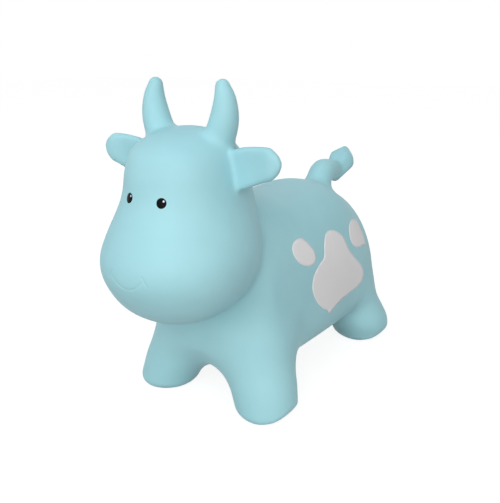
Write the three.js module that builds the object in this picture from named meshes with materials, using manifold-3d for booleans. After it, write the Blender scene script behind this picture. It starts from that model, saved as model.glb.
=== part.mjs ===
// A ride-on cow hopper: a hollow, air-filled skin of soft PVC with printed markings and a plugged air valve.
// Millimetres, +Z up. The cow faces -Y and its left side is +X. The origin is on the floor under its middle.
import * as THREE from "three";
import { mergeVertices } from "three/addons/utils/BufferGeometryUtils.js";
import Module from "manifold-3d";

const wasm = await Module();
wasm.setup();

// Skin
const WALL = 2;
const SEAM_GAP = 0.3;

// Torso: lengths run along Y, and the reaches start at the feet's axles
const WHEELBASE = 343;
const CHEST_REACH = 42;
const CHEST_DOME = 84;
const CHEST_FULLNESS = 2.2;
const CHEST_POLE_HEIGHT = 118;
const SHOULDER_WIDTH = 216;
const SHOULDER_HEIGHT = 309;
const SHOULDER_BELLY_HEIGHT = 45;
const BARREL_WIDTH = 242;
const BARREL_WIDEST_HEIGHT = 122;
const SADDLE_HEIGHT = 306;
const BELLY_HEIGHT = 46;
const CROUP_AHEAD = 80;
const CROUP_WIDTH = 245;
const CROUP_WIDEST_HEIGHT = 118;
const CROUP_HEIGHT = 308;
const CROUP_BELLY_HEIGHT = 48;
const RUMP_REACH = 59;
const RUMP_DOME = 73;
const RUMP_POLE_HEIGHT = 137;
const RUMP_WIDTH = 239;
const RUMP_WIDEST_HEIGHT = 110;
const RUMP_HEIGHT = 283;
const RUMP_BELLY_HEIGHT = 54;
const BACK_SQUARENESS = 2.4;
const BELLY_SQUARENESS = 2.8;

// Legs
const FRONT_TRACK = 195;
const FRONT_FOOT_RADIUS = 51;
const FRONT_HIP_TRACK = 132;
const FRONT_HIP_SETBACK = 25;
const REAR_TRACK = 203;
const REAR_FOOT_RADIUS = 55;
const REAR_HIP_TRACK = 138;
const REAR_HIP_SETBACK = 10;
const HIP_RADIUS = 52;
const HIP_HEIGHT = 104;
const ANKLE_HEIGHT = 45;
const SOLE_EDGE = 22;

// Head: the distances ahead start at the front axle
const CROWN_HEIGHT = 432;
const CROWN_DOME = 54;
const CROWN_TOP_AHEAD = 50;
const CROWN_AHEAD = 57;
const CROWN_DEPTH = 160;
const CROWN_WIDTH = 153;
const BROW_HEIGHT = 336;
const BROW_AHEAD = 54;
const BROW_DEPTH = 186;
const BROW_WIDTH = 171;
const MUZZLE_HEIGHT = 262;
const MUZZLE_AHEAD = 70;
const MUZZLE_DEPTH = 226;
const MUZZLE_WIDTH = 213;
const CHIN_HEIGHT = 166;
const CHIN_AHEAD = 77;
const CHIN_FULLNESS = 2.2;
const FACE_SQUARENESS = 2.15;

// Horns
const HORN_AHEAD = 46;
const HORN_ROOT_SPREAD = 84;
const HORN_ROOT_DEPTH = 34;
const HORN_ROOT_RADIUS = 22;
const HORN_BASE_SPREAD = 114;
const HORN_BASE_RISE = 6;
const HORN_BASE_RADIUS = 20;
const HORN_BULGE_SPREAD = 120;
const HORN_BULGE_RISE = 33;
const HORN_BULGE_RADIUS = 15;
const HORN_TIP_SPREAD = 113;
const HORN_TIP_RISE = 62;
const HORN_TIP_RADIUS = 10;

// Ears
const EAR_SPAN = 301;
const EAR_AHEAD = 50;
const EAR_DROP = 55;
const EAR_ROOT_HEIGHT = 53;
const EAR_BLADE_HEIGHT = 50;
const EAR_TIP_DOME = 36;
const EAR_TIP_FULLNESS = 1.8;
const EAR_BLADE_RISE = 12;
const EAR_TIP_RISE = 21;
const EAR_THICKNESS = 21;
const EAR_SQUARENESS = 2.4;
const EAR_DISH = 6;
const EAR_SWEEP = 6;
const EAR_ROOT_DEPTH = 14;

// Tail: setbacks start at the croup, and rises at the rump's height
const TAIL_ROOT_SETBACK = 57;
const TAIL_ROOT_DEPTH = 23;
const TAIL_STUB_SETBACK = 85;
const TAIL_STUB_RISE = 20;
const TAIL_STUB_RADIUS = 23;
const TAIL_BEND_SETBACK = 113;
const TAIL_BEND_RISE = 23;
const TAIL_BEND_RADIUS = 21;
const TAIL_PINCH_SETBACK = 134;
const TAIL_PINCH_RISE = 20;
const TAIL_PINCH_RADIUS = 18;
const TAIL_TUFT_SETBACK = 152;
const TAIL_TUFT_RISE = 18;
const TAIL_TUFT_RADIUS = 23;
const TAIL_TIP_SETBACK = 174;
const TAIL_TIP_RISE = 38;
const TAIL_TIP_RADIUS = 23;

// Mouth: a shallow smile with a dimple across each end
const MOUTH_HEIGHT = 239;
const MOUTH_WIDTH = 54;
const MOUTH_LIFT = 15;
const MOUTH_GROOVE = 2.4;
const DIMPLE_LENGTH = 13;
const DIMPLE_OFFSET = 2;
const DIMPLE_SLANT = Math.PI / 3;

// Prints: films of ink that lie on the skin
const INK_GAP = 0.3;
const INK_THICKNESS = 0.5;
const EYE_SPACING = 54;
const EYE_HEIGHT = 347;
const EYE_DIAMETER = 13.6;
const GLINT_DIAMETER = 2.6;
const GLINT_SIDE = 3.2;
const GLINT_RISE = 2.9;

// Outlines of the left flank's markings, points that a smooth closed curve passes through. Each point is
// [percent of the wheelbase behind the front axle, percent of the saddle's height].
const MARKINGS = {
  front: [[37, 73], [35, 69], [29, 68.5], [22, 73], [20.5, 78], [25, 82.5], [32, 81]],
  large: [
    [53.5, 80.5], [64, 75], [69, 65], [80.5, 54], [84, 47.5], [78, 41.5], [60, 40.5], [47, 37],
    [38, 43.5], [31, 56], [34, 63.5], [43, 69], [47, 77],
  ],
  rear: [[80, 79.5], [90.5, 76], [94, 65], [88, 62.5], [76, 65], [71.5, 72]],
};

// Valve: a seat in the belly's moulded collar, closed by a plug
const VALVE_SETBACK = 20;
const COLLAR_RADIUS = 17;
const COLLAR_HEIGHT = 10;
const PAD_RAISE = 0.8;
const VALVE_CLEARANCE = 0.3;
const SEAT_BARREL_RADIUS = 10;
const SEAT_FLANGE_RADIUS = 14.5;
const SEAT_FLANGE_THICKNESS = 2;
const SEAT_BORE_RADIUS = 6;
const SEAT_LIP_REACH = 2;
const SEAT_LIP_HEIGHT = 3;
const PLUG_CAP_RADIUS = 11;
const PLUG_CAP_THICKNESS = 3;
const PLUG_BEVEL = 1;
const PLUG_SHANK_LENGTH = 13;
const PLUG_RIB_HEIGHT = 0.8;
const PLUG_RIB_WIDTH = 2;
const PLUG_RIBS = 3;

// Smoothness of the round forms
const OUTSIDE = { body: 28, limb: 16, steps: 3 };
const INSIDE = { body: 18, limb: 10, steps: 2 };
const VALVE_SEGMENTS = 18;
const EYE_SEGMENTS = 20;
const GLINT_SEGMENTS = 10;
const GROOVE_SEGMENTS = 6;

// The power of a true ellipse. A larger one fills out the corners.
const ROUND = 2;

const { lerp } = THREE.MathUtils;
const frontAxle = -WHEELBASE / 2;
const rearAxle = WHEELBASE / 2;
const croup = rearAxle - CROUP_AHEAD;

// A closed geometry as a solid that can be joined and cut, its faces turned outwards.
function solidOf(geometry) {
  const bare = geometry.clone();
  bare.deleteAttribute("normal");
  bare.deleteAttribute("uv");
  const merged = mergeVertices(bare, 1e-4);
  const corners = new Uint32Array(merged.index.array);
  const vertProperties = merged.attributes.position.array;
  const make = (triVerts) => new wasm.Manifold(new wasm.Mesh({ numProp: 3, vertProperties, triVerts }));
  const solid = make(corners);
  return solid.volume() > 0 ? solid : make(corners.reverse());
}

function geometryOf(solid) {
  const { vertProperties, triVerts } = solid.getMesh();
  const geometry = new THREE.BufferGeometry();
  geometry.setAttribute("position", new THREE.BufferAttribute(vertProperties, 3));
  geometry.setIndex(new THREE.BufferAttribute(triVerts, 1));
  geometry.computeVertexNormals();
  return geometry;
}

// Joins rings of points into one closed surface. The first and the last ring are single points.
function closedSkin(rings) {
  const faces = [];
  let start = 0;
  for (let i = 0; i + 1 < rings.length; i++) {
    const here = rings[i].length;
    const next = rings[i + 1].length;
    const after = start + here;
    for (let k = 0; k < Math.max(here, next); k++) {
      const a = start + (k % here);
      const b = start + ((k + 1) % here);
      const c = after + (k % next);
      const d = after + ((k + 1) % next);
      if (here > 1) faces.push(a, b, d);
      if (next > 1) faces.push(a, d, c);
    }
    start = after;
  }
  const geometry = new THREE.BufferGeometry().setFromPoints(rings.flat());
  geometry.setIndex(faces);
  return solidOf(geometry);
}

// A section is [along, low, widest, high, half, squareness of its high part]. These are the sections
// from a pole to a full one, falling in like the quarter of an ellipse.
function dome([poleAlong, poleCentre, fullness], [along, low, widest, high, half, squareness]) {
  const DOME_SECTIONS = 3;
  return Array.from({ length: DOME_SECTIONS }, (_, i) => {
    const angle = (Math.PI / 2) * (i / DOME_SECTIONS);
    const grown = Math.sin(angle) ** (2 / fullness);
    return [
      lerp(along, poleAlong, Math.cos(angle) ** (2 / fullness)),
      lerp(poleCentre, low, grown),
      lerp(poleCentre, widest, grown),
      lerp(poleCentre, high, grown),
      half * grown,
      squareness,
    ];
  });
}

const catmullRom = (t, a, b, c, d) =>
  b + 0.5 * t * (c - a + t * (2 * a - 5 * b + 4 * c - d + t * (3 * (b - c) + d - a)));

// Sections read along a smooth curve. A mirrored section past each pole closes the skin round.
function smoothed(sections, steps) {
  const mirrored = ([along, low, widest, high, half, squareness]) =>
    [along, high, widest, low, -half, squareness];
  const padded = [mirrored(sections[1]), ...sections, mirrored(sections.at(-2))];
  const rows = [];
  for (let i = 1; i + 2 < padded.length; i++) {
    for (let s = 0; s < steps; s++) {
      const [before, here, next, after] = padded.slice(i - 1, i + 3);
      rows.push(here.map((value, k) => catmullRom(s / steps, before[k], value, next[k], after[k])));
    }
  }
  return [...rows, sections.at(-1)];
}

// A skin lofted through egg-shaped sections between two poles, drawn in by an inset.
// place(along, across, side, height) puts a section's point in space.
function loft({ poles, sections, lowSquareness, place }, inset, segments, steps) {
  const full = sections.map(([along, low, widest, high, half, squareness]) =>
    [along, low + inset, widest, high - inset, half - inset, squareness]);
  const drawnIn = ([along, ...rest], section) => [along + inset * Math.sign(section[0] - along), ...rest];
  const start = dome(drawnIn(poles[0], full[0]), full[0]);
  const end = dome(drawnIn(poles[1], full.at(-1)), full.at(-1)).reverse();
  const rows = smoothed([...start, ...full, ...end], steps);
  const rings = rows.map(([along, low, widest, high, half, squareness], i) => {
    if (i === 0 || i === rows.length - 1) return [place(along, widest, 0, 0)];
    return Array.from({ length: segments }, (_, k) => {
      const angle = (2 * Math.PI * k) / segments;
      const [cos, sin] = [Math.cos(angle), Math.sin(angle)];
      const power = 2 / (sin < 0 ? lowSquareness : squareness);
      const reach = sin < 0 ? low - widest : high - widest;
      const side = half * Math.sign(cos) * Math.abs(cos) ** power;
      return place(along, widest + reach * Math.abs(sin) ** power, side, sin);
    });
  });
  return closedSkin(rings);
}

// A round tube through spine points [point, radius], with hemispherical ends, drawn in by an inset.
function roundedTube(spine, inset, steps, segments) {
  const CAP_RINGS = 3;
  const curve = new THREE.CatmullRomCurve3(spine.map(([point]) => point));
  const radii = new THREE.SplineCurve(spine.map(([, radius], i) => new THREE.Vector2(i, radius)));
  const frames = curve.computeFrenetFrames(steps, false);
  const radiusAt = (i) => radii.getPoint(curve.getUtoTmapping(i / steps)).y - inset;
  const ringAt = (i, centre, radius) =>
    Array.from({ length: segments }, (_, k) => {
      const angle = (2 * Math.PI * k) / segments;
      return centre.clone()
        .addScaledVector(frames.normals[i], radius * Math.cos(angle))
        .addScaledVector(frames.binormals[i], radius * Math.sin(angle));
    });
  const cap = (i, sign) =>
    Array.from({ length: CAP_RINGS }, (_, c) => {
      const angle = (Math.PI / 2) * ((c + 1) / CAP_RINGS);
      const out = sign * radiusAt(i) * Math.sin(angle);
      const centre = curve.getPointAt(i / steps).addScaledVector(frames.tangents[i], out);
      return c + 1 === CAP_RINGS ? [centre] : ringAt(i, centre, radiusAt(i) * Math.cos(angle));
    });
  const middle = Array.from({ length: steps + 1 }, (_, i) =>
    ringAt(i, curve.getPointAt(i / steps), radiusAt(i)));
  return closedSkin([...cap(0, -1).reverse(), ...middle, ...cap(steps, 1)]);
}

function torso(inset, detail = OUTSIDE) {
  const shoulder = frontAxle - CHEST_REACH + CHEST_DOME;
  const rump = rearAxle + RUMP_REACH - RUMP_DOME;
  const section = (y, low, widest, high, width, squareness = BACK_SQUARENESS) =>
    [y, low, widest, high, width / 2, squareness];
  return loft({
    poles: [
      [frontAxle - CHEST_REACH, CHEST_POLE_HEIGHT, CHEST_FULLNESS],
      [rearAxle + RUMP_REACH, RUMP_POLE_HEIGHT, ROUND],
    ],
    sections: [
      section(shoulder, SHOULDER_BELLY_HEIGHT, BARREL_WIDEST_HEIGHT, SHOULDER_HEIGHT, SHOULDER_WIDTH),
      section((shoulder + croup) / 2, BELLY_HEIGHT, BARREL_WIDEST_HEIGHT, SADDLE_HEIGHT, BARREL_WIDTH),
      section(croup, CROUP_BELLY_HEIGHT, CROUP_WIDEST_HEIGHT, CROUP_HEIGHT, CROUP_WIDTH),
      section(rump, RUMP_BELLY_HEIGHT, RUMP_WIDEST_HEIGHT, RUMP_HEIGHT, RUMP_WIDTH, ROUND),
    ],
    lowSquareness: BELLY_SQUARENESS,
    place: (y, z, x) => new THREE.Vector3(x, y, z),
  }, inset, detail.body, detail.steps);
}

function head(inset, detail = OUTSIDE) {
  const section = (height, ahead, depth, width) => {
    const y = frontAxle - ahead;
    return [height, y - depth / 2, y, y + depth / 2, width / 2, FACE_SQUARENESS];
  };
  return loft({
    poles: [
      [CROWN_HEIGHT, frontAxle - CROWN_TOP_AHEAD, ROUND],
      [CHIN_HEIGHT, frontAxle - CHIN_AHEAD, CHIN_FULLNESS],
    ],
    sections: [
      section(CROWN_HEIGHT - CROWN_DOME, CROWN_AHEAD, CROWN_DEPTH, CROWN_WIDTH),
      section(BROW_HEIGHT, BROW_AHEAD, BROW_DEPTH, BROW_WIDTH),
      section(MUZZLE_HEIGHT, MUZZLE_AHEAD, MUZZLE_DEPTH, MUZZLE_WIDTH),
    ],
    lowSquareness: FACE_SQUARENESS,
    place: (z, y, x) => new THREE.Vector3(x, y, z),
  }, inset, detail.body, detail.steps);
}

// A stub leg: a turned form leaning from its hip inside the torso out to its foot. end is -1 at the front.
function leg(side, end, inset, detail = OUTSIDE) {
  const [axle, track, footRadius, hipTrack, hipSetback] = end < 0
    ? [frontAxle, FRONT_TRACK, FRONT_FOOT_RADIUS, FRONT_HIP_TRACK, FRONT_HIP_SETBACK]
    : [rearAxle, REAR_TRACK, REAR_FOOT_RADIUS, REAR_HIP_TRACK, REAR_HIP_SETBACK];
  const foot = footRadius - inset;
  const hip = HIP_RADIUS - inset;
  const outline = new THREE.Path();
  outline.moveTo(0, inset);
  outline.lineTo(foot - SOLE_EDGE, inset);
  outline.absarc(foot - SOLE_EDGE, inset + SOLE_EDGE, SOLE_EDGE, -Math.PI / 2, 0, false);
  outline.bezierCurveTo(foot, ANKLE_HEIGHT, hip, ANKLE_HEIGHT, hip, HIP_HEIGHT);
  outline.absarc(0, HIP_HEIGHT, hip, 0, Math.PI / 2, false);
  const form = new THREE.LatheGeometry(outline.getPoints(detail.steps), detail.limb);
  form.rotateX(Math.PI / 2);
  const lean = new THREE.Matrix4().set(
    1, 0, (side * (hipTrack - track)) / 2 / HIP_HEIGHT, (side * track) / 2,
    0, 1, (-end * hipSetback) / HIP_HEIGHT, axle,
    0, 0, 1, 0,
    0, 0, 0, 1);
  form.applyMatrix4(lean);
  return solidOf(form);
}

function horn(side, inset, detail = OUTSIDE) {
  const y = frontAxle - HORN_AHEAD;
  const at = (spread, rise) => new THREE.Vector3((side * spread) / 2, y, CROWN_HEIGHT + rise);
  return roundedTube([
    [at(HORN_ROOT_SPREAD, -HORN_ROOT_DEPTH), HORN_ROOT_RADIUS],
    [at(HORN_BASE_SPREAD, HORN_BASE_RISE), HORN_BASE_RADIUS],
    [at(HORN_BULGE_SPREAD, HORN_BULGE_RISE), HORN_BULGE_RADIUS],
    [at(HORN_TIP_SPREAD, HORN_TIP_RISE - HORN_TIP_RADIUS), HORN_TIP_RADIUS],
  ], inset, 3 * detail.steps, detail.limb);
}

// An ear is a dished leaf that starts inside the head.
function ear(side, inset, detail = OUTSIDE) {
  const root = CROWN_WIDTH / 2 - EAR_ROOT_DEPTH;
  const tip = EAR_SPAN / 2;
  const blade = tip - EAR_TIP_DOME;
  const rootHeight = CROWN_HEIGHT - EAR_DROP;
  const bladeHeight = rootHeight + EAR_BLADE_RISE;
  const section = (x, z, height) =>
    [x, z - height / 2, z, z + height / 2, EAR_THICKNESS / 2, EAR_SQUARENESS];
  const y = frontAxle - EAR_AHEAD;
  return loft({
    poles: [
      [root - EAR_TIP_DOME, rootHeight, ROUND],
      [tip, rootHeight + EAR_TIP_RISE, EAR_TIP_FULLNESS],
    ],
    sections: [
      section(root, rootHeight, EAR_ROOT_HEIGHT),
      section(blade, bladeHeight, EAR_BLADE_HEIGHT),
    ],
    lowSquareness: EAR_SQUARENESS,
    place: (x, z, thick, high) => {
      const dishDepth = EAR_DISH * Math.min(1, (tip - x) / EAR_TIP_DOME);
      const dish = thick < 0 ? dishDepth * (1 - high * high) : 0;
      const sweep = (EAR_SWEEP * (x - root)) / (tip - root);
      return new THREE.Vector3(side * x, y + thick + dish - sweep, z);
    },
  }, inset, detail.limb, detail.steps);
}

function tail(inset, detail = OUTSIDE) {
  const at = (setback, rise) => new THREE.Vector3(0, croup + setback, RUMP_HEIGHT + rise);
  return roundedTube([
    [at(TAIL_ROOT_SETBACK, -TAIL_ROOT_DEPTH), TAIL_STUB_RADIUS],
    [at(TAIL_STUB_SETBACK, TAIL_STUB_RISE), TAIL_STUB_RADIUS],
    [at(TAIL_BEND_SETBACK, TAIL_BEND_RISE), TAIL_BEND_RADIUS],
    [at(TAIL_PINCH_SETBACK, TAIL_PINCH_RISE), TAIL_PINCH_RADIUS],
    [at(TAIL_TUFT_SETBACK, TAIL_TUFT_RISE), TAIL_TUFT_RADIUS],
    [at(TAIL_TIP_SETBACK, TAIL_TIP_RISE), TAIL_TIP_RADIUS],
  ], inset, 5 * detail.steps, detail.limb);
}

// Where a line first meets a solid, and the way that the surface faces there.
function surfaceHit(solid, origin, direction) {
  const target = new THREE.Mesh(geometryOf(solid));
  const [hit] = new THREE.Raycaster(origin, direction).intersectObject(target);
  return { point: hit.point, normal: hit.face.normal };
}

// A round bar along a line through a point, long enough to pass through the skin there.
function barThrough(point, direction, radius, segments) {
  const BAR_LENGTH = 60;
  const bar = new THREE.CylinderGeometry(radius, radius, BAR_LENGTH, segments);
  bar.applyQuaternion(new THREE.Quaternion().setFromUnitVectors(new THREE.Vector3(0, 1, 0), direction));
  bar.translate(point.x, point.y, point.z);
  return solidOf(bar);
}

// A profile of [radius, z] points turned about Z, which starts and ends on the axis or at one point.
function turned(points) {
  const profile = points.map(([radius, z]) => new THREE.Vector2(radius, z));
  return solidOf(new THREE.LatheGeometry(profile, VALVE_SEGMENTS).rotateX(Math.PI / 2));
}

const sides = [["left", 1], ["right", -1]];
const ends = [["front", -1], ["rear", 1]];
const backward = new THREE.Vector3(0, 1, 0);
const upward = new THREE.Vector3(0, 0, 1);
const aheadOfFace = frontAxle - MUZZLE_AHEAD - MUZZLE_DEPTH;

const torsoForm = torso(0);
const headForm = head(0);

// The air chamber: the inside of every region, open from each one to the next.
function airChamber() {
  let chamber = torso(WALL, INSIDE).add(head(WALL, INSIDE)).add(tail(WALL, INSIDE));
  for (const [, side] of sides) {
    chamber = chamber.add(horn(side, WALL, INSIDE)).add(ear(side, WALL, INSIDE));
    for (const [, end] of ends) chamber = chamber.add(leg(side, end, WALL, INSIDE));
  }
  return chamber;
}

// The smile: grooves that follow the muzzle's skin.
function mouthGrooves() {
  const onMuzzle = (x, z) => surfaceHit(headForm, new THREE.Vector3(x, aheadOfFace, z), backward).point;
  const groove = (places, steps) => {
    const spine = places.map(([x, z]) => [onMuzzle(x, z), MOUTH_GROOVE / 2]);
    return roundedTube(spine, 0, steps, GROOVE_SEGMENTS);
  };
  const half = MOUTH_WIDTH / 2;
  const smile = [-1, -0.5, 0, 0.5, 1].map((t) => [t * half, MOUTH_HEIGHT + MOUTH_LIFT * t * t]);
  const dimple = (side) => {
    const [x, z] = [half + DIMPLE_OFFSET, MOUTH_HEIGHT + MOUTH_LIFT];
    const across = (DIMPLE_LENGTH / 2) * Math.cos(DIMPLE_SLANT);
    const up = (DIMPLE_LENGTH / 2) * Math.sin(DIMPLE_SLANT);
    return [[side * (x - across), z + up], [side * (x + across), z - up]];
  };
  return groove(smile, 12).add(groove(dimple(1), 3)).add(groove(dimple(-1), 3));
}

// The torso's belly has a flat pad and a collar inside it, bored for the valve seat.
const valveCentre = surfaceHit(torsoForm, new THREE.Vector3(0, VALVE_SETBACK, 0), upward).point;
valveCentre.z -= PAD_RAISE;

function collar(radius, from, to) {
  const rod = new THREE.CylinderGeometry(radius, radius, to - from, VALVE_SEGMENTS).rotateX(Math.PI / 2);
  return solidOf(rod.translate(valveCentre.x, valveCentre.y, valveCentre.z + (from + to) / 2));
}

function valveSeat() {
  const under = -VALVE_CLEARANCE;
  const over = COLLAR_HEIGHT + VALVE_CLEARANCE;
  return turned([
    [SEAT_BORE_RADIUS, under - SEAT_FLANGE_THICKNESS],
    [SEAT_FLANGE_RADIUS, under - SEAT_FLANGE_THICKNESS],
    [SEAT_FLANGE_RADIUS, under],
    [SEAT_BARREL_RADIUS, under],
    [SEAT_BARREL_RADIUS, over],
    [SEAT_BARREL_RADIUS + SEAT_LIP_REACH, over],
    [SEAT_BARREL_RADIUS, over + SEAT_LIP_HEIGHT],
    [SEAT_BORE_RADIUS, over + SEAT_LIP_HEIGHT],
    [SEAT_BORE_RADIUS, under - SEAT_FLANGE_THICKNESS],
  ]);
}

// The plug's cap closes on the seat's flange, and its ribbed shank fills the bore.
function airPlug() {
  const top = -2 * VALVE_CLEARANCE - SEAT_FLANGE_THICKNESS;
  const rib = SEAT_BORE_RADIUS - VALVE_CLEARANCE;
  const core = rib - PLUG_RIB_HEIGHT;
  const pitch = PLUG_SHANK_LENGTH / (PLUG_RIBS + 1);
  const points = [
    [0, top - PLUG_CAP_THICKNESS],
    [PLUG_CAP_RADIUS - PLUG_BEVEL, top - PLUG_CAP_THICKNESS],
    [PLUG_CAP_RADIUS, top - PLUG_CAP_THICKNESS + PLUG_BEVEL],
    [PLUG_CAP_RADIUS, top],
    [core, top],
  ];
  for (let i = 1; i <= PLUG_RIBS; i++) {
    const z = top + i * pitch;
    points.push([core, z - PLUG_RIB_WIDTH / 2], [rib, z], [core, z + PLUG_RIB_WIDTH / 2]);
  }
  points.push([core - PLUG_BEVEL, top + PLUG_SHANK_LENGTH], [0, top + PLUG_SHANK_LENGTH]);
  return turned(points);
}

// The layer that ink takes up over a form of the skin.
const inkOver = (form) => form(-INK_GAP - INK_THICKNESS).subtract(form(-INK_GAP));

// A flank marking: its outline pressed through the ink layer from the side.
function marking(side, outline) {
  const MARKING_STEPS = 28;
  const onFlank = ([back, up]) =>
    new THREE.Vector3(frontAxle + (WHEELBASE * back) / 100, (SADDLE_HEIGHT * up) / 100, 0);
  const loop = new THREE.CatmullRomCurve3(outline.map(onFlank), true);
  const points = loop.getPoints(MARKING_STEPS).slice(1);
  const shape = new THREE.Shape(points.map(({ x, y }) => new THREE.Vector2(x, y)));
  const block = new THREE.ExtrudeGeometry(shape, { depth: BARREL_WIDTH, bevelEnabled: false });
  const toFlank = new THREE.Matrix4().makeBasis(backward, upward, new THREE.Vector3(side, 0, 0));
  return solidOf(block.applyMatrix4(toFlank));
}

const aqua = new THREE.MeshStandardMaterial({ color: 0xa6dce3, roughness: 0.55, metalness: 0 });
const offWhite = new THREE.MeshStandardMaterial({ color: 0xd6d2d4, roughness: 0.6, metalness: 0 });
const black = new THREE.MeshStandardMaterial({ color: 0x0b0c0e, roughness: 0.25, metalness: 0 });
const white = new THREE.MeshStandardMaterial({ color: 0xf6f6f6, roughness: 0.4, metalness: 0 });
const clear = new THREE.MeshStandardMaterial({ color: 0xe3eef0, roughness: 0.35, metalness: 0 });

const cow = new THREE.Group();
const skin = new THREE.Group();
const prints = new THREE.Group();
const valve = new THREE.Group();
valve.position.copy(valveCentre);
cow.add(skin, prints, valve);

function addMesh(group, name, solid, material) {
  const mesh = new THREE.Mesh(geometryOf(solid), material);
  mesh.name = name;
  group.add(mesh);
}
const addSkin = (name, solid) => addMesh(skin, name, solid, aqua);

const valveCollar = collar(COLLAR_RADIUS, 0, COLLAR_HEIGHT);
const valveBore = collar(SEAT_BARREL_RADIUS + VALVE_CLEARANCE, -WALL, COLLAR_HEIGHT + WALL);
const chamber = airChamber();
const besideTorso = torso(-SEAM_GAP);
const besideHead = head(-SEAM_GAP);

addSkin("torso_skin", torsoForm.subtract(chamber).add(valveCollar).subtract(valveBore));
addSkin("head_skin", headForm.subtract(besideTorso).subtract(chamber).subtract(mouthGrooves()));
addSkin("tail", tail(0).subtract(besideTorso).subtract(chamber));
for (const [sideName, side] of sides) {
  for (const [endName, end] of ends) {
    addSkin(`leg_${endName}_${sideName}`, leg(side, end, 0).subtract(besideTorso).subtract(chamber));
  }
  addSkin(`horn_${sideName}`, horn(side, 0).subtract(besideHead).subtract(chamber));
  const besideHorn = horn(side, -SEAM_GAP);
  addSkin(`ear_${sideName}`, ear(side, 0).subtract(besideHead).subtract(besideHorn).subtract(chamber));
}

const torsoInk = inkOver(torso);
const headInk = inkOver(head);
for (const [sideName, side] of sides) {
  for (const [place, outline] of Object.entries(MARKINGS)) {
    addMesh(prints, `spot_${place}_${sideName}`, torsoInk.intersect(marking(side, outline)), offWhite);
  }
  const start = new THREE.Vector3((side * EYE_SPACING) / 2, aheadOfFace, EYE_HEIGHT);
  const eye = surfaceHit(headForm, start, backward);
  const glintPoint = eye.point.clone().add(new THREE.Vector3(GLINT_SIDE, 0, GLINT_RISE));
  const pupil = barThrough(eye.point, eye.normal, EYE_DIAMETER / 2, EYE_SEGMENTS);
  const glint = barThrough(glintPoint, eye.normal, GLINT_DIAMETER / 2, GLINT_SEGMENTS);
  const glintHole = barThrough(glintPoint, eye.normal, GLINT_DIAMETER / 2 + INK_GAP, GLINT_SEGMENTS);
  addMesh(prints, `eye_${sideName}`, headInk.intersect(pupil).subtract(glintHole), black);
  addMesh(prints, `eye_glint_${sideName}`, headInk.intersect(glint), white);
}

addMesh(valve, "valve_seat", valveSeat(), clear);
addMesh(valve, "air_plug", airPlug(), white);

// The origin lies under the middle of the whole cow.
const middle = new THREE.Box3().setFromObject(cow).getCenter(new THREE.Vector3());
cow.position.set(-middle.x, -middle.y, 0);

const root = new THREE.Group();
root.add(cow);

export default root;
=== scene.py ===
import math

import bmesh
import bpy
import numpy as np
import openvdb
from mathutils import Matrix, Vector
from mathutils.geometry import delaunay_2d_cdt


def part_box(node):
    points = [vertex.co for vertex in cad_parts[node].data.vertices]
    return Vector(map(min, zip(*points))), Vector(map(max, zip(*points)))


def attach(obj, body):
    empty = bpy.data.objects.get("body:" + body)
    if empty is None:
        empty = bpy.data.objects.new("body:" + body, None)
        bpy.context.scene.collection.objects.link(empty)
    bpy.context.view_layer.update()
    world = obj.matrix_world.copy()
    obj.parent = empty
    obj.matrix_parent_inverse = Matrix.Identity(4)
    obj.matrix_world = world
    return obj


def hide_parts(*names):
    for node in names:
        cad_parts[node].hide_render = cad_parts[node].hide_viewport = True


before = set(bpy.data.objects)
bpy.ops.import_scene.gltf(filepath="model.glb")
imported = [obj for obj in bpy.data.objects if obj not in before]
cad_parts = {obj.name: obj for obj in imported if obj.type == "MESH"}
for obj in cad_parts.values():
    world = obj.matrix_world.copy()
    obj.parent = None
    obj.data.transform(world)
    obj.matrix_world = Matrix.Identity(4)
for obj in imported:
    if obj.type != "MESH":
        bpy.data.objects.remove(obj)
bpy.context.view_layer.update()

# Sizes are in millimetres until a mesh is made. The cow faces -y, and its feet stand near y = -AXLE and y = AXLE.
MM = 0.001
AXLE = 176.0
CHEST_REACH = 42.0
SHIFT_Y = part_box("torso_skin")[0].y / MM + AXLE + CHEST_REACH
seat_low, seat_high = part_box("valve_seat")
SEAT_HEIGHT = seat_low.z / MM
PLUG_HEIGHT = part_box("air_plug")[0].z / MM
VALVE_Y = (seat_low.y + seat_high.y) / 2 / MM - SHIFT_Y

# The skin is meshed from a grid of distances
VOXEL = 3.1
BAND_VOXELS = 14
FAR = VOXEL * BAND_VOXELS
GRID_LOW = (-56, -128, -6)
GRID_SIZE = (113, 232, 178)

# How widely the moulding's forms run into each other
FRONT_LEG_FILLET = 37.0
REAR_LEG_FILLET = 24.0
TAIL_FILLET = 22.0
HORN_FILLET = 12.0
EAR_FILLET = 7.0
NECK_FILLET = 10.0
PAD_FILLET = 2.0

# Torso: poles of [y, height, fullness], and the sections of the shoulder, saddle, croup and rump as
# [y, underside, widest height, top, half width, squareness above the widest height]
CHEST_POLE = [-AXLE - CHEST_REACH, 118, 2.2]
RUMP_POLE = [AXLE + 50, 137, 2.04]
TORSO_SECTIONS = [
    [-134, 45, 122, 314, 108, 2.5],
    [-15, 46.5, 122, 309, 121, 2.45],
    [87, 48, 118, 307.5, 122.5, 2.4],
    [153, 54, 110, 283, 119.5, 2.02],
]
BELLY_SQUARENESS = 2.8

# Head: poles of [height, y, fullness], and sections of [height, middle ahead of the axle, depth, width]
CROWN_HEIGHT = 432.0
CROWN_Y = -AXLE - 50.0
CROWN_POLE = [CROWN_HEIGHT, CROWN_Y, 2]
CHIN_POLE = [165.5, -AXLE - 77, 2.2]
HEAD_SECTIONS = [
    [CROWN_HEIGHT - 54, 56.5, 161, 157],
    [336, 53, 187, 173.5],
    [262, 69.5, 226, 213],
]
HEAD_SQUARENESS = 2.15

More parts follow.
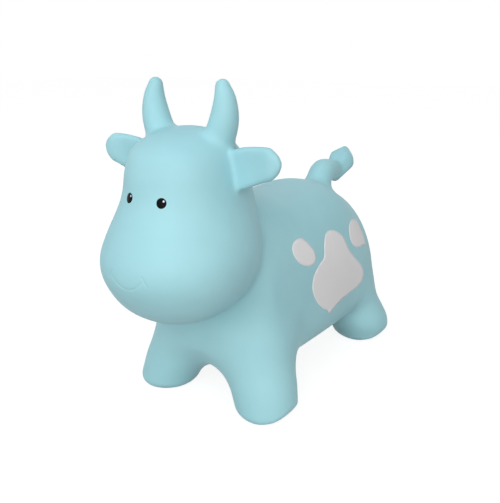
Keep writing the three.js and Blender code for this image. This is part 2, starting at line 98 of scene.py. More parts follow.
# Legs: foot and hip are radii, and the calf bulges between them
HIP_HEIGHT = 104.0
FRONT_LEG = {"end": -1, "track": 197.5, "hip_track": 130, "axle": AXLE - 1, "hip_setback": 21,
             "foot": 49, "hip": 51.4, "ankle_height": 42, "bulge": 2}
REAR_LEG = {"end": 1, "track": 201.5, "hip_track": 140, "axle": AXLE - 5, "hip_setback": 17,
            "foot": 53.4, "hip": 47, "ankle_height": 43, "bulge": 8}
LEG_SEGMENTS = 120
LEG_STEPS = 24
ROUNDING_STEPS = 16
SOLE_EDGE = 15.0
SOLE_SOFTNESS = 7.0
# Each cut starts so far inside the foot's outer side and climbs outwards at this slope
SOLE_CUTS = [(36.0, 0.36), (19.0, 1.2)]

# Horns: a spine of [distance from the mid-plane, rise over the crown, radius]
HORN_Y = -AXLE - 46.5
HORN_SPINE = [[42, -34, 21.5], [56.8, 6, 19.7], [59.8, 33, 15], [56.3, 52, 9.8]]
SPINE_STEPS = 24

# Tail: spines of [setback from TAIL_Y, rise over TAIL_HEIGHT, radius]
TAIL_Y = 122.0
TAIL_HEIGHT = 294.0
TAIL_STUB = [[20, -34, 23], [48, 9, 23.3], [77, 12, 21], [99, 9, 18]]
TAIL_TUFT = [[99, 9, 18], [118, 8, 24.5], [140, 25, 28]]
TUFT_SETBACK = 129
TUFT_RISE = 18
TUFT_SOFTNESS = 4.0
# The tuft's flat cuts: how much each faces outwards, back and up, and its distance from the tuft's middle
TUFT_CUTS = [
    (0.47, -0.08, 0.88, 27.0),
    (0.75, 0.43, 0.51, 29.3),
    (0.91, 0.42, 0.05, 27.4),
    (0.70, 0.18, -0.69, 22.6),
    (0.88, -0.39, 0.26, 23.4),
    (0.0, -0.66, 0.75, 20.0),
    (0.0, 0.98, 0.20, 33.0),
]

# Ears: poles of [x, height, fullness], and sections of [x, middle height, height from edge to edge]
EAR_ROOT = 62.0
EAR_TIP = 148.0
EAR_HEIGHT = CROWN_HEIGHT - 55
EAR_ROOT_POLE = [EAR_ROOT - 50, EAR_HEIGHT, 2]
EAR_TIP_POLE = [EAR_TIP, EAR_HEIGHT + 17, 1.7]
EAR_SECTIONS = [
    [EAR_ROOT, EAR_HEIGHT - 2.6, 50],
    [EAR_TIP - 57, EAR_HEIGHT + 6.3, 51],
    [EAR_TIP - 22, EAR_HEIGHT + 14.8, 40.5],
]
EAR_HALF_THICKNESS = 8.5
EAR_SQUARENESS = 2.4
EAR_RIM = 2.0
EAR_DISH = 6.0
EAR_DISH_FADE = 36.0
EAR_SWEEP = 6.0

# The belly round the valve: rises start at the underside of the seat's flange
PAD_RADIUS = 17.0
PAD_RISE = 2.3
PAD_DEPTH = 12.0
POCKET_RADIUS = 12.6
POCKET_RISE = 18.0


def catmull_rom(t, a, b, c, d):
    return b + 0.5 * t * (c - a + t * (2 * a - 5 * b + 4 * c - d + t * (3 * (b - c) + d - a)))


def along_curve(points, steps):
    """A smooth open curve through the points, with steps to each span."""
    p = np.asarray(points, float)
    p = np.vstack([2 * p[0] - p[1], p, 2 * p[-1] - p[-2]])
    t = np.arange(steps)[:, None] / steps
    spans = [catmull_rom(t, *p[i : i + 4]) for i in range(len(p) - 3)]
    return np.vstack([*spans, p[-2:-1]])


def closed_curve(points, steps):
    """A smooth closed curve through the points, with steps to each span."""
    p = np.asarray(points, float)
    t = np.arange(steps)[:, None] / steps
    return np.vstack([catmull_rom(t, *(np.roll(p, 1 - i, 0)[:4])) for i in range(len(p))])


def circle(segments):
    """The angles of points that are spaced evenly round a circle."""
    return 2 * math.pi * np.arange(segments) / segments


def dome(pole, section):
    """Sections [along, low, widest, high, half, squareness] from a pole [along, centre, fullness] to a full one."""
    rows = []
    for angle in np.arange(3) * math.pi / 6:
        grown = math.sin(angle) ** (2 / pole[2])
        fall = math.cos(angle) ** (2 / pole[2])
        along = section[0] + (pole[0] - section[0]) * fall
        egg = [pole[1] + (v - pole[1]) * grown for v in section[1:4]]
        rows.append([along, *egg, section[4] * grown, section[5]])
    return rows


def loft(poles, sections, low_squareness, place, steps=10, segments=144):
    """Rings of points on a skin that is lofted through egg-shaped sections between two poles."""
    rows = [*dome(poles[0], sections[0]), *sections, *dome(poles[1], sections[-1])[::-1]]
    # Past each pole the curve goes on through the section opposite, so that it is round there
    swap = [0, 3, 2, 1, 4, 5]
    flip = np.array([1, 1, 1, 1, -1, 1])
    p = np.array(rows, float)
    p = np.vstack([p[1][swap] * flip, p, p[-2][swap] * flip])
    t = np.arange(steps)[:, None] / steps
    p = np.vstack([*(catmull_rom(t, *p[i : i + 4]) for i in range(len(p) - 3)), p[-2:-1]])
    angle = circle(segments)
    cos, sin = np.cos(angle), np.sin(angle)
    along, low, widest, high, half, squareness = (p[:, i : i + 1] for i in range(6))
    power = 2 / np.where(sin < 0, low_squareness, squareness)
    reach = np.where(sin < 0, low - widest, high - widest)
    across = widest + reach * np.abs(sin) ** power
    side = half * np.sign(cos) * np.abs(cos) ** power
    return np.stack(place(along + 0 * across, across, side, sin + 0 * across), -1)


def level_set(rings):
    """The grid of distances from a closed skin of rings."""
    count, segments = rings.shape[:2]
    i, k = np.meshgrid(np.arange(count - 1), np.arange(segments), indexing="ij")
    following = (k + 1) % segments
    quads = np.stack([i * segments + k, i * segments + following, (i + 1) * segments + following,
                      (i + 1) * segments + k], -1).reshape(-1, 4)
    grid = openvdb.FloatGrid.createLevelSetFromPolygons(
        rings.reshape(-1, 3).astype(np.float32), quads=quads.astype(np.uint32),
        transform=openvdb.createLinearTransform(voxelSize=VOXEL), halfWidth=float(BAND_VOXELS))
    values = np.empty(GRID_SIZE, np.float32)
    grid.copyToArray(values, ijk=GRID_LOW)
    return values


def grid_axis(axis):
    """The grid's places along one axis, shaped to spread over the other two."""
    shape = [1, 1, 1]
    shape[axis] = -1
    return ((GRID_LOW[axis] + np.arange(GRID_SIZE[axis])) * VOXEL).astype(np.float32).reshape(shape)


def beads(points, radii):
    """The grid of distances from a row of balls that lie so close that they make a smooth tube."""
    reach = FAR + max(radii)
    low = np.min(points, 0) - reach
    high = np.max(points, 0) + reach
    window = tuple(
        slice(max(0, int(low[a] / VOXEL) - GRID_LOW[a]), max(0, int(high[a] / VOXEL) - GRID_LOW[a] + 1))
        for a in range(3))
    x, y, z = (np.take(grid_axis(a), np.arange(GRID_SIZE[a])[window[a]], a) for a in range(3))
    nearest = None
    for (cx, cy, cz), radius in zip(points, radii):
        d = np.sqrt((x - cx) ** 2 + (y - cy) ** 2 + (z - cz) ** 2) - radius
        nearest = d if nearest is None else np.minimum(nearest, d)
    values = np.full(GRID_SIZE, FAR, np.float32)
    values[window] = np.clip(nearest, -FAR, FAR)
    return values


def merged(a, b, width):
    """Both forms in one, with a fillet where they meet."""
    near = np.maximum(width - np.abs(a - b), 0) / width
    return np.minimum(a, b) - near * near * width / 4


def trimmed(form, cut, width):
    """The form without what lies on the outer side of a cut, with a rounded edge."""
    return -merged(-form, -cut, width)


def both_sides(values):
    return np.minimum(values, values[::-1])


def torso():
    return level_set(loft([CHEST_POLE, RUMP_POLE], TORSO_SECTIONS, BELLY_SQUARENESS,
                          lambda y, z, x, _: (x, y, z)))


def head():
    sections = []
    for height, ahead, depth, width in HEAD_SECTIONS:
        y = -AXLE - ahead
        sections.append([height, y - depth / 2, y, y + depth / 2, width / 2, HEAD_SQUARENESS])
    return level_set(loft([CROWN_POLE, CHIN_POLE], sections, HEAD_SQUARENESS, lambda z, y, x, _: (x, y, z)))


def leg(end, track, hip_track, axle, hip_setback, foot, hip, ankle_height, bulge):
    """The left leg at one end: it leans out from its hip, and its sole slants up at its outer side."""
    angle = circle(LEG_SEGMENTS)
    turn = np.linspace(0, math.pi / 2, ROUNDING_STEPS)[:, None]
    t = np.linspace(0, 1, LEG_STEPS)[1:, None]
    sole = foot - SOLE_EDGE
    radius = np.vstack([
        [[0], [sole / 2]],
        sole + SOLE_EDGE * np.sin(turn),
        foot + (hip - foot) * t * t * (3 - 2 * t) + 4 * bulge * t * (1 - t),
        hip * np.cos(turn[1:])])
    z = np.vstack([
        [[0], [0]],
        SOLE_EDGE * (1 - np.cos(turn)),
        (1 - t) ** 3 * SOLE_EDGE + 3 * t * (1 - t) * ankle_height + t ** 3 * HIP_HEIGHT,
        HIP_HEIGHT + hip * np.sin(turn[1:])])
    x = track / 2 + z * (hip_track - track) / 2 / HIP_HEIGHT + radius * np.cos(angle)
    y = end * (axle - z * hip_setback / HIP_HEIGHT) + radius * np.sin(angle)
    form = level_set(np.stack(np.broadcast_arrays(x, y, z), -1))
    for inset, slope in SOLE_CUTS:
        past = grid_axis(0) - track / 2 - foot + inset
        form = trimmed(form, (slope * past - grid_axis(2)) / math.hypot(slope, 1), SOLE_SOFTNESS)
    return form


def horn():
    out, rise, radius = along_curve(HORN_SPINE, SPINE_STEPS).T
    return beads(np.stack([out, np.full(len(out), HORN_Y), CROWN_HEIGHT + rise], -1), radius)


def tail_tube(spine):
    setback, rise, radius = along_curve(spine, SPINE_STEPS).T
    return beads(np.stack([np.zeros(len(rise)), TAIL_Y + setback, TAIL_HEIGHT + rise], -1), radius)


def tail():
    """A stub that bends over, and a tuft cut flat at its front, its end and all round."""
    tuft = tail_tube(TAIL_TUFT)
    x = np.abs(grid_axis(0))
    y = grid_axis(1) - TAIL_Y - TUFT_SETBACK
    z = grid_axis(2) - TAIL_HEIGHT - TUFT_RISE
    for outwards, back, up, distance in TUFT_CUTS:
        tuft = trimmed(tuft, outwards * x + back * y + up * z - distance, TUFT_SOFTNESS)
    return merged(tail_tube(TAIL_STUB), tuft, TUFT_SOFTNESS)


def ear():
    """The left ear, which is dished at its front and sweeps forward to its tip."""
    sections = [[x, z - tall / 2, z, z + tall / 2, EAR_HALF_THICKNESS, EAR_SQUARENESS]
                for x, z, tall in EAR_SECTIONS]

    def place(x, z, thick, high):
        depth = EAR_DISH * (1 - high * high) * np.clip((EAR_TIP - x) / EAR_DISH_FADE, 0, 1)
        sweep = EAR_SWEEP * (x - EAR_ROOT) / (EAR_TIP - EAR_ROOT)
        return x, CROWN_Y + thick + np.where(thick < 0, depth, 0) - sweep, z

    return level_set(loft([EAR_ROOT_POLE, EAR_TIP_POLE], sections, EAR_SQUARENESS, place)) - EAR_RIM


def with_valve_pocket(body):
    """The body with a flat pad on its belly, hollowed where the valve's seat goes in."""
    away = np.hypot(grid_axis(0), grid_axis(1) - VALVE_Y)
    rise = grid_axis(2) - SEAT_HEIGHT
    pad = np.maximum(away - PAD_RADIUS, np.abs(rise - PAD_RISE - PAD_DEPTH / 2) - PAD_DEPTH / 2)
    pocket = np.maximum(away - POCKET_RADIUS, rise - POCKET_RISE)
    return np.maximum(merged(body, pad, PAD_FILLET), -pocket)


def skin_distances():
    """The whole moulding, cut level at the floor."""
    body = torso()
    body = merged(body, both_sides(leg(**FRONT_LEG)), FRONT_LEG_FILLET)
    body = merged(body, both_sides(leg(**REAR_LEG)), REAR_LEG_FILLET)
    body = merged(body, tail(), TAIL_FILLET)
    face = merged(head(), both_sides(horn()), HORN_FILLET)
    face = merged(face, both_sides(ear()), EAR_FILLET)
    whole = with_valve_pocket(merged(body, face, NECK_FILLET))
    return np.maximum(whole, -grid_axis(2))


class Field:
    """The skin's distances, read between the points of the grid."""

    def __init__(self, values):
        self.values = values
        self.slopes = np.gradient(values, VOXEL)

    def _read(self, values, points):
        at = points / VOXEL - np.array(GRID_LOW)
        # Each point stays short of the grid's end, so that its cell has a far corner
        at = np.clip(at, 0, np.array(GRID_SIZE) - 1.001)
        base = at.astype(int)
        f = at - base
        total = 0
        for corner in np.ndindex(2, 2, 2):
            weight = np.prod(np.where(corner, f, 1 - f), -1)
            i, j, k = (base + corner).T
            total = total + weight * values[i, j, k]
        return total

    def distance(self, points):
        return self._read(self.values, points)

    def slope(self, points):
        return np.stack([self._read(s, points) for s in self.slopes], -1)

    def normal(self, points):
        g = self.slope(points)
        return g / np.linalg.norm(g, axis=-1, keepdims=True)

    def settle(self, points, rounds=3):
        """The points moved onto the skin."""
        for _ in range(rounds):
            g = self.slope(points)
            step = self.distance(points) / np.maximum((g * g).sum(-1), 0.05)
            points = points - g * np.clip(step, -VOXEL, VOXEL)[:, None]
        return points

    def meet(self, start, end, rounds=26):
        """Where lines that start outside and end inside pass through the skin."""
        start, end = np.array(start, float), np.array(end, float)
        for _ in range(rounds):
            middle = (start + end) / 2
            inside = (self.distance(middle) < 0)[:, None]
            start, end = np.where(inside, start, middle), np.where(inside, middle, end)
        return (start + end) / 2


def relaxed(points, quads, field, rounds=6):
    """Evens out the mesh while it stays on the skin."""
    edges = np.vstack([quads[:, [i, (i + 1) % 4]] for i in range(4)])
    edges = np.unique(np.sort(edges, 1), axis=0)
    both = np.vstack([edges, edges[:, ::-1]])
    count = np.bincount(both[:, 0], minlength=len(points))
    for _ in range(rounds):
        mean = np.stack([np.bincount(both[:, 0], points[both[:, 1], a], len(points)) for a in range(3)], -1)
        points = field.settle((points + mean / count[:, None]) / 2, 1)
    return field.settle(points)


def in_metres(points):
    """Places in the frame, from places in millimetres."""
    return (np.asarray(points) + [0, SHIFT_Y, 0]) * MM


def in_millimetres(points):
    return np.array(points) / MM - [0, SHIFT_Y, 0]


def new_piece(name, points, faces):
    mesh = bpy.data.meshes.new(name)
    mesh.from_pydata([tuple(p) for p in in_metres(points)], [], [tuple(f) for f in faces])
    mesh.polygons.foreach_set("use_smooth", [True] * len(mesh.polygons))
    mesh.validate()
    piece = bpy.data.objects.new(name, mesh)
    bpy.context.scene.collection.objects.link(piece)
    return piece


def dress(piece, body, slot, material, *nodes):
    piece.data.materials.append(material)
    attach(piece, body)
    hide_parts(*nodes)


def moulded_skin(field):
    """The mesh of the whole skin, with its faces turned outwards."""
    volume = openvdb.FloatGrid(FAR)
    volume.copyFromArray(field.values, ijk=GRID_LOW)
    volume.transform = openvdb.createLinearTransform(voxelSize=VOXEL)
    points, quads = volume.convertToQuads(0.0)
    points = relaxed(points.astype(float), quads.astype(int), field)
    corner = [points[quads[:, i]] for i in range(3)]
    if (corner[0] * np.cross(corner[1], corner[2])).sum() < 0:
        quads = quads[:, ::-1]
    return new_piece("skin", points, quads.tolist())


# Mouth: a smile with a tick across each end, pressed into the front of the muzzle
MOUTH_HEIGHT = 239.5
MOUTH_HALF = 27.0
MOUTH_LIFT = 15.0
MOUTH_DEPTH = 0.6
MOUTH_WIDTH = 1.2
SMILE_POINTS = 81
TICK_POINTS = 21
DIMPLE = 6.5
DIMPLE_OFFSET = 2.0
DIMPLE_TILT = (0.5, 0.87)
MUZZLE_FRONT = -AXLE - 128
MUZZLE_HEIGHT = 250.0
MUZZLE_HALF_WIDTH = 50.0
MUZZLE_HALF_HEIGHT = 40.0
# The mesh is halved once within each of these distances from the mouth's lines
FINER_WITHIN = (9, 6)


def mouth_lines():
    """Points [x, z] along the smile and its ticks."""
    t = np.linspace(-1, 1, SMILE_POINTS)
    smile = np.stack([t * MOUTH_HALF, MOUTH_HEIGHT + MOUTH_LIFT * t * t], -1)
    s = np.linspace(-1, 1, TICK_POINTS) * DIMPLE
    out, down = DIMPLE_TILT
    ticks = [np.stack([side * (MOUTH_HALF + DIMPLE_OFFSET + s * out), MOUTH_HEIGHT + MOUTH_LIFT - s * down], -1)
             for side in (1, -1)]
    return np.vstack([smile, *ticks])


def mouth_gap(points):
    """How far each point is from the mouth's lines, seen from the front."""
    line = mouth_lines()
    return np.hypot(points[:, None, 0] - line[:, 0], points[:, None, 2] - line[:, 1]).min(1)


def press_mouth(piece, field):
    """Makes the mesh finer round the mouth and presses the smile into it."""
    bm = bmesh.new()
    bm.from_mesh(piece.data)
    for reach in FINER_WITHIN:
        centres = in_millimetres([f.calc_center_median() for f in bm.faces])
        ahead = np.flatnonzero(centres[:, 1] < MUZZLE_FRONT)
        close = ahead[mouth_gap(centres[ahead]) < reach]
        bm.faces.ensure_lookup_table()
        edges = list({e for i in close for e in bm.faces[i].edges})
        bmesh.ops.subdivide_edges(bm, edges=edges, cuts=1, use_grid_fill=True)
    bm.verts.ensure_lookup_table()
    points = in_millimetres([v.co for v in bm.verts])
    chosen = np.flatnonzero(
        (points[:, 1] < MUZZLE_FRONT) & (np.abs(points[:, 0]) < MUZZLE_HALF_WIDTH)
        & (np.abs(points[:, 2] - MUZZLE_HEIGHT) < MUZZLE_HALF_HEIGHT))
    p = field.settle(points[chosen])
    depth = MOUTH_DEPTH * np.exp(-((mouth_gap(p) / MOUTH_WIDTH) ** 2))
    p = p - field.normal(p) * depth[:, None]
    for i, co in zip(chosen, in_metres(p)):
        bm.verts[i].co = co
    bm.to_mesh(piece.data)
    bm.free()
    piece.data.polygons.foreach_set("use_smooth", [True] * len(piece.data.polygons))


# Prints: films of ink, with the outlines of the markings in [y, z]
INK_TOP = 0.12
INK_SUNK = 0.15
MARKINGS = {
    "front": [[-50, 224], [-52, 214], [-61, 208.5], [-75, 209], [-91, 216], [-101, 225], [-106, 238],
              [-101, 248.5], [-88, 253], [-74, 252], [-64, 245], [-56, 235]],
    "large": [[8, 246], [28, 240.5], [44, 229], [52, 214], [60, 200], [80, 181], [100, 165], [113, 148],
              [110, 134], [94, 127], [62, 125.5], [30, 124], [2, 119], [-17, 112], [-26, 120], [-42, 130],
              [-60, 148], [-70, 171], [-63, 191], [-42, 205], [-29, 211], [-20, 229], [-8, 242]],
    "rear": [[99, 243.5], [116, 240], [134, 233], [143, 216], [147, 199], [141, 189], [124, 192.5],
             [103, 194.5], [86, 199], [74, 208], [70, 221], [78, 237]],
}
MARKING_SPAN_STEPS = 16
MARKING_STEP = 4.0
BESIDE_FLANK = 160.0
EYE_X = 27.0
EYE_HEIGHT = 346.6
EYE_RADIUS = 6.8
EYE_RIM = 0.15
EYE_CROWN = 0.5
BEFORE_FACE_Y = -420.0
INSIDE_HEAD_Y = -AXLE - 54
GLINT_RADIUS = 1.3
GLINT_X = 3.2
GLINT_RISE = 2.9
GLINT_UNDER = 0.2
GLINT_RIM = 0.6
GLINT_CROWN = 0.1
DISC_REACH = 12.0


def film(name, top, under, faces, rim):
    """A closed film: its top, its underside, and a rim between the two."""
    n = len(top)
    below = [tuple(i + n for i in f[::-1]) for f in faces]
    sides = [(b, a, a + n, b + n) for a, b in rim]
    piece = new_piece(name, np.vstack([top, under]), [*faces, *below, *sides])
    for face in piece.data.polygons[len(faces):]:
        face.use_smooth = False
    return piece


def within(points, edge):
    """Which points lie inside a closed outline."""
    (y, z), (y2, z2) = edge.T, np.roll(edge, -1, 0).T
    height = points[:, 1:]
    crosses = (z > height) != (z2 > height)
    at = y + (height - z) * (y2 - y) / np.where(z2 == z, 1e-9, z2 - z)
    return (crosses & (points[:, :1] < at)).sum(1) % 2 == 1


def marking(name, side, outline, field):
    """A printed spot on one flank, +1 for the left."""
    edge = closed_curve(outline, MARKING_SPAN_STEPS)[::-1]
    low, high = edge.min(0), edge.max(0)
    lattice = np.meshgrid(*(np.arange(low[a], high[a], MARKING_STEP) for a in (0, 1)), indexing="ij")
    inner = np.stack([a.ravel() for a in lattice], -1)
    clear = np.hypot(*(inner[:, None, a] - edge[:, a] for a in (0, 1))).min(1) > MARKING_STEP / 2
    inner = inner[within(inner, edge) & clear]
    n = len(edge)
    ring = [(i, (i + 1) % n) for i in range(n)]
    made = delaunay_2d_cdt([Vector(p) for p in np.vstack([edge, inner])], ring, [], 1, 1e-5)
    flat = np.array(made[0])
    beside = np.full(len(flat), side * BESIDE_FLANK)
    hit = field.meet(np.stack([beside, *flat.T], -1), np.stack([0 * beside, *flat.T], -1))
    normal = field.normal(hit)
    faces = [tuple(f) if side > 0 else tuple(f[::-1]) for f in made[2]]
    rim = [(a, b) if side > 0 else (b, a) for a, b in ring]
    return film(name, hit + INK_TOP * normal, hit - INK_SUNK * normal, faces, rim)


def disc(name, centre, radius, field, under, rim_height, crown, rings=8, segments=48):
    """A round film that swells from its rim to its middle. Heights, also that of its underside, are over the skin."""
    centre = np.array([centre], float)
    normal = field.normal(centre)[0]
    across = np.cross([0, 0, 1.0], normal)
    across /= np.linalg.norm(across)
    up = np.cross(normal, across)
    share = np.sin(np.linspace(0, math.pi / 2, rings + 1)[1:])
    flat = np.array([(0.0, 0.0)] + [(s * math.cos(a), s * math.sin(a)) for s in share for a in circle(segments)])
    points = centre + radius * (flat[:, :1] * across + flat[:, 1:] * up)
    points = field.meet(points + DISC_REACH * normal, points - DISC_REACH * normal)
    lift = rim_height + crown * (1 - (flat ** 2).sum(-1, keepdims=True))
    out = field.normal(points)
    steps = [(k, (k + 1) % segments) for k in range(segments)]
    faces = [(0, 1 + k, 1 + following) for k, following in steps]
    for a in range(1, 1 + (rings - 1) * segments, segments):
        b = a + segments
        faces += [(a + k, b + k, b + following, a + following) for k, following in steps]
    last = 1 + (rings - 1) * segments
    rim = [(last + k, last + following) for k, following in steps]
    return film(name, points + lift * out, points + under * out, faces, rim)


# Valve: the seat in the belly and the plug that closes it, in profiles of [radius, rise]
VALVE_SEGMENTS = 72
SEAT_ROUNDING = 0.35
SEAT_BORE = 6.0
SEAT_NECK = 10.0
SEAT_FLANGE = 14.5
SEAT_PROFILE = [
    [SEAT_BORE, 2], [SEAT_BORE, 0], [SEAT_FLANGE, 0], [SEAT_FLANGE, 2], [SEAT_NECK, 2], [SEAT_NECK, 12.6],
    [12, 12.6], [SEAT_NECK, 15.6], [SEAT_BORE, 15.6], [SEAT_BORE, 2],
]
PLUG_ROUNDING = 0.3
PLUG_SHANK = 4.9
PLUG_RIB = 5.7
PLUG_RIB_RISES = (6.25, 9.5, 12.75)
PLUG_RIB_HALF = 1.0
PLUG_CAP = [[0, 0], [10, 0], [11, 1], [11, 3], [PLUG_SHANK, 3]]
PLUG_NOSE = [[3.9, 16], [0, 16]]


def plug_profile():
    ribs = [[radius, rise + offset] for rise in PLUG_RIB_RISES for radius, offset in (
        (PLUG_SHANK, -PLUG_RIB_HALF), (PLUG_RIB, 0), (PLUG_SHANK, PLUG_RIB_HALF))]
    return [*PLUG_CAP, *ribs, *PLUG_NOSE]


def softened(corners, radius, steps=3):
    """A profile with its corners rounded."""
    c = np.asarray(corners, float)
    out = [c[0]]
    for a, b, d in zip(c, c[1:], c[2:]):
        cut = min(radius, np.linalg.norm(a - b) / 2.2, np.linalg.norm(d - b) / 2.2)
        p = b + (a - b) / np.linalg.norm(a - b) * cut
        q = b + (d - b) / np.linalg.norm(d - b) * cut
        out += [(1 - t) ** 2 * p + 2 * t * (1 - t) * b + t * t * q for t in np.linspace(0, 1, steps + 1)]
    return [*out, c[-1]]


def turned(name, profile, z):
    """A piece turned about the valve's axis, with its profile standing at height z."""
    n = VALVE_SEGMENTS
    angle = circle(n)
    radius, rise = np.asarray(profile, float).T[..., None]
    points = np.stack([radius * np.cos(angle), VALVE_Y + radius * np.sin(angle), z + rise + 0 * angle], -1)
    faces = [(r * n + k, r * n + (k + 1) % n, (r + 1) * n + (k + 1) % n, (r + 1) * n + k)
             for r in range(len(profile) - 1) for k in range(n)]
    piece = new_piece(name, points.reshape(-1, 3), faces)
    bm = bmesh.new()
    bm.from_mesh(piece.data)
    bmesh.ops.remove_doubles(bm, verts=bm.verts, dist=1e-6)
    bmesh.ops.recalc_face_normals(bm, faces=bm.faces)
    bm.to_mesh(piece.data)
    bm.free()
    return piece


# Materials: scales are repeats to the metre, and colours are written as for screens
TINT_SCALE = 9.0
TINT_DETAIL = 3.0
TINT_FROM = 0.35
TINT_TO = 0.65
GLOSS_SCALE = 60.0
GLOSS_SPREAD = 0.05
GRAIN_SCALE = 700.0
GRAIN_DEPTH = 0.0004


def linear(red, green, blue):
    """A colour as it is written for screens, made linear."""
    return tuple(((v / 255 + 0.055) / 1.055) ** 2.4 for v in (red, green, blue))


def noise(tree, place, scale, detail=2.0):
    texture = tree.nodes.new("ShaderNodeTexNoise")
    texture.inputs["Scale"].default_value = scale
    texture.inputs["Detail"].default_value = detail
    tree.links.new(place, texture.inputs["Vector"])
    return texture.outputs["Fac"]


def ramp(tree, value, stops):
    node = tree.nodes.new("ShaderNodeValToRGB")
    for element, (position, colour) in zip(node.color_ramp.elements, stops):
        element.position = position
        element.color = (*colour, 1)
    tree.links.new(value, node.inputs["Fac"])
    return node.outputs["Color"]


def spread(tree, value, low, high):
    node = tree.nodes.new("ShaderNodeMapRange")
    node.inputs["To Min"].default_value = low
    node.inputs["To Max"].default_value = high
    tree.links.new(value, node.inputs["Value"])
    return node.outputs["Result"]


def bump(tree, height, strength, distance):
    node = tree.nodes.new("ShaderNodeBump")
    node.inputs["Strength"].default_value = strength
    node.inputs["Distance"].default_value = distance
    tree.links.new(height, node.inputs["Height"])
    return node.outputs["Normal"]


def soft_plastic(name, dark, light, roughness, grain=0.02, specular=0.5):
    """A plastic or an ink with a faintly uneven tint and gloss, and a fine grain."""
    material = bpy.data.materials.new(name)
    material.use_nodes = True
    tree = material.node_tree
    inputs = tree.nodes["Principled BSDF"].inputs
    inputs["Specular IOR Level"].default_value = specular
    place = tree.nodes.new("ShaderNodeTexCoord").outputs["Object"]
    tint = ramp(tree, noise(tree, place, TINT_SCALE, TINT_DETAIL),
                [(TINT_FROM, linear(*dark)), (TINT_TO, linear(*light))])
    gloss = spread(tree, noise(tree, place, GLOSS_SCALE), roughness - GLOSS_SPREAD, roughness + GLOSS_SPREAD)
    tree.links.new(tint, inputs["Base Color"])
    tree.links.new(gloss, inputs["Roughness"])
    tree.links.new(bump(tree, noise(tree, place, GRAIN_SCALE), grain, GRAIN_DEPTH), inputs["Normal"])
    return material


skin_material = soft_plastic("aqua_skin", (169, 219, 226), (176, 226, 232), 0.5, specular=0.25)
spot_material = soft_plastic("off_white_ink", (247, 243, 243), (250, 247, 247), 0.55, specular=0.25)
eye_material = soft_plastic("black_ink", (6, 7, 9), (14, 15, 17), 0.3, grain=0.005, specular=0.06)
glint_material = soft_plastic("white_ink", (236, 238, 240), (246, 247, 248), 0.3, grain=0.005)
valve_material = soft_plastic("seat_plastic", (214, 228, 231), (224, 236, 238), 0.35)
plug_material = soft_plastic("plug_plastic", (236, 238, 238), (244, 245, 245), 0.4)

# The pieces
field = Field(skin_distances())
skin = moulded_skin(field)
press_mouth(skin, field)
dress(skin, "hopper", "skin", skin_material, "torso_skin", "head_skin", "tail", "horn_left", "horn_right",
      "ear_left", "ear_right", "leg_front_left", "leg_front_right", "leg_rear_left", "leg_rear_right")

for side_name, side in (("left", 1), ("right", -1)):
    for place_name, outline in MARKINGS.items():
        spot = marking(f"marking_{place_name}_{side_name}", side, outline, field)
        dress(spot, "hopper", "spot_ink", spot_material, f"spot_{place_name}_{side_name}")
    eye_at = field.meet([[side * EYE_X, BEFORE_FACE_Y, EYE_HEIGHT]], [[side * EYE_X, INSIDE_HEAD_Y, EYE_HEIGHT]])[0]
    pupil = disc(f"pupil_{side_name}", eye_at, EYE_RADIUS, field, -INK_SUNK, EYE_RIM, EYE_CROWN)
    dress(pupil, "hopper", "eye_ink", eye_material, f"eye_{side_name}")
    # Both glints lie on the same side of their pupils
    glint_at = eye_at + [GLINT_X, 0, GLINT_RISE]
    glint = disc(f"glint_{side_name}", glint_at, GLINT_RADIUS, field, GLINT_UNDER, GLINT_RIM, GLINT_CROWN,
                 rings=4, segments=24)
    dress(glint, "hopper", "glint_ink", glint_material, f"eye_glint_{side_name}")

seat = turned("valve_grommet", softened(SEAT_PROFILE, SEAT_ROUNDING), SEAT_HEIGHT)
dress(seat, "hopper", "valve", valve_material, "valve_seat")
plug = turned("valve_plug", softened(plug_profile(), PLUG_ROUNDING), PLUG_HEIGHT)
dress(plug, "plug", "plug", plug_material, "air_plug")

# Stage, in metres and watts
FLOOR_REACH = 9
FLOOR_LIGHT_RETURN = 0.42
FLOOR_SHADE = 0.3
FLOOR_GLOW = 0.87
SKY_BEHIND = 0.31
SKY_BEFORE = 0.79
LAMP_SIZE = 1.8
LAMP_TARGET = (0, 0, 0.25)
WHITE = (1, 1, 1)
LAMPS = [
    ("key", (0.5, -2.75, 1.6), 22, WHITE),
    ("fill", (2.34, -1.8, 1.21), 20, WHITE),
    ("top", (0, -1.6, 2.9), 14, (0.5, 0.8, 1.0)),
    ("rear", (-0.6, 2.6, 1.7), 6, WHITE),
]


def show(tree, unseen, seen, surface):
    """One shader for rays from the camera and those that a surface reflects or lets through, another for the rest."""
    ray = tree.nodes.new("ShaderNodeLightPath")
    value = ray.outputs["Is Camera Ray"]
    for name in ("Is Glossy Ray", "Is Transmission Ray"):
        either = tree.nodes.new("ShaderNodeMath")
        either.operation = "MAXIMUM"
        tree.links.new(value, either.inputs[0])
        tree.links.new(ray.outputs[name], either.inputs[1])
        value = either.outputs[0]
    choose = tree.nodes.new("ShaderNodeMixShader")
    tree.links.new(value, choose.inputs["Fac"])
    tree.links.new(unseen.outputs[0], choose.inputs[1])
    tree.links.new(seen.outputs[0], choose.inputs[2])
    tree.links.new(choose.outputs[0], surface)


def grey_diffuse(tree, level):
    node = tree.nodes.new("ShaderNodeBsdfDiffuse")
    node.inputs["Color"].default_value = (level, level, level, 1)
    return node


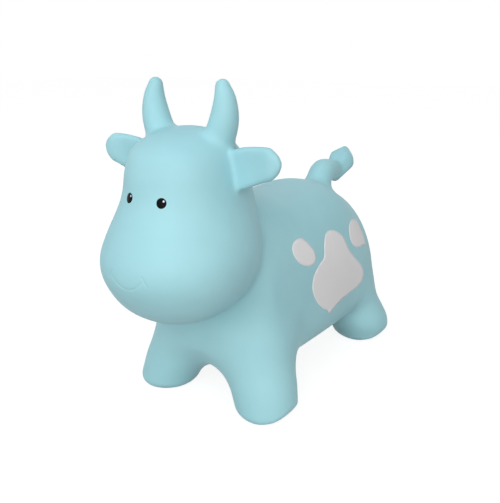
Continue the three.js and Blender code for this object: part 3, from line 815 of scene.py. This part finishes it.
def floor_look():
    """A floor that shows nearly white, with soft shadows, and returns less light than it shows."""
    material = bpy.data.materials.new("floor")
    material.use_nodes = True
    tree = material.node_tree
    tree.nodes.remove(tree.nodes["Principled BSDF"])
    glow = tree.nodes.new("ShaderNodeEmission")
    glow.inputs["Strength"].default_value = FLOOR_GLOW
    seen = tree.nodes.new("ShaderNodeAddShader")
    tree.links.new(grey_diffuse(tree, FLOOR_SHADE).outputs[0], seen.inputs[0])
    tree.links.new(glow.outputs[0], seen.inputs[1])
    show(tree, grey_diffuse(tree, FLOOR_LIGHT_RETURN), seen, tree.nodes["Material Output"].inputs["Surface"])
    return material


def studio():
    """A world that shows white, and lights the cow more from the front than from behind."""
    world = bpy.data.worlds.new("studio")
    world.use_nodes = True
    tree = world.node_tree
    sky, white = tree.nodes["Background"], tree.nodes.new("ShaderNodeBackground")
    for background in (sky, white):
        background.inputs["Color"].default_value = (*WHITE, 1)
    white.inputs["Strength"].default_value = 1.0
    towards_front = tree.nodes.new("ShaderNodeVectorMath")
    towards_front.operation = "DOT_PRODUCT"
    towards_front.inputs[1].default_value = (0, -1, 0)
    direction = tree.nodes.new("ShaderNodeTexCoord").outputs["Generated"]
    tree.links.new(direction, towards_front.inputs[0])
    strength = spread(tree, towards_front.outputs["Value"], SKY_BEHIND, SKY_BEFORE)
    tree.links.new(strength, sky.inputs["Strength"])
    show(tree, sky, white, tree.nodes["World Output"].inputs["Surface"])
    return world


def area_light(name, place, power, colour):
    lamp = bpy.data.lights.new(name, "AREA")
    lamp.size = LAMP_SIZE
    lamp.energy = power
    lamp.color = colour
    thing = bpy.data.objects.new(name, lamp)
    bpy.context.scene.collection.objects.link(thing)
    thing.location = place
    thing.rotation_euler = (Vector(LAMP_TARGET) - Vector(place)).to_track_quat("-Z", "Y").to_euler()


floor_mesh = bpy.data.meshes.new("floor")
floor_corners = [(x * FLOOR_REACH, y * FLOOR_REACH, 0) for x, y in ((-1, -1), (1, -1), (1, 1), (-1, 1))]
floor_mesh.from_pydata(floor_corners, [], [(0, 1, 2, 3)])
floor_mesh.materials.append(floor_look())
floor = bpy.data.objects.new("floor", floor_mesh)
bpy.context.scene.collection.objects.link(floor)
bpy.context.scene.world = studio()
for lamp in LAMPS:
    area_light(*lamp)

# Camera at the photograph's angle: its place is in millimetres and its dip and turn are in degrees
PICTURE_LONG_SIDE = 503
FOCAL_PIXELS = 625.0
SENSOR_WIDTH = 36.0
CAMERA_PLACE = [537.2, -886.35, 530]
CAMERA_DIP = 18
CAMERA_TURN = 33.5
camera_data = bpy.data.cameras.new("camera")
camera_data.sensor_width = SENSOR_WIDTH
camera_data.lens = SENSOR_WIDTH * FOCAL_PIXELS / PICTURE_LONG_SIDE
camera = bpy.data.objects.new("camera", camera_data)
bpy.context.scene.collection.objects.link(camera)
camera.location = in_metres(CAMERA_PLACE)
camera.rotation_euler = (math.radians(90 - CAMERA_DIP), 0, math.radians(CAMERA_TURN))
bpy.context.scene.camera = camera
bpy.context.scene.view_settings.view_transform = "Standard"
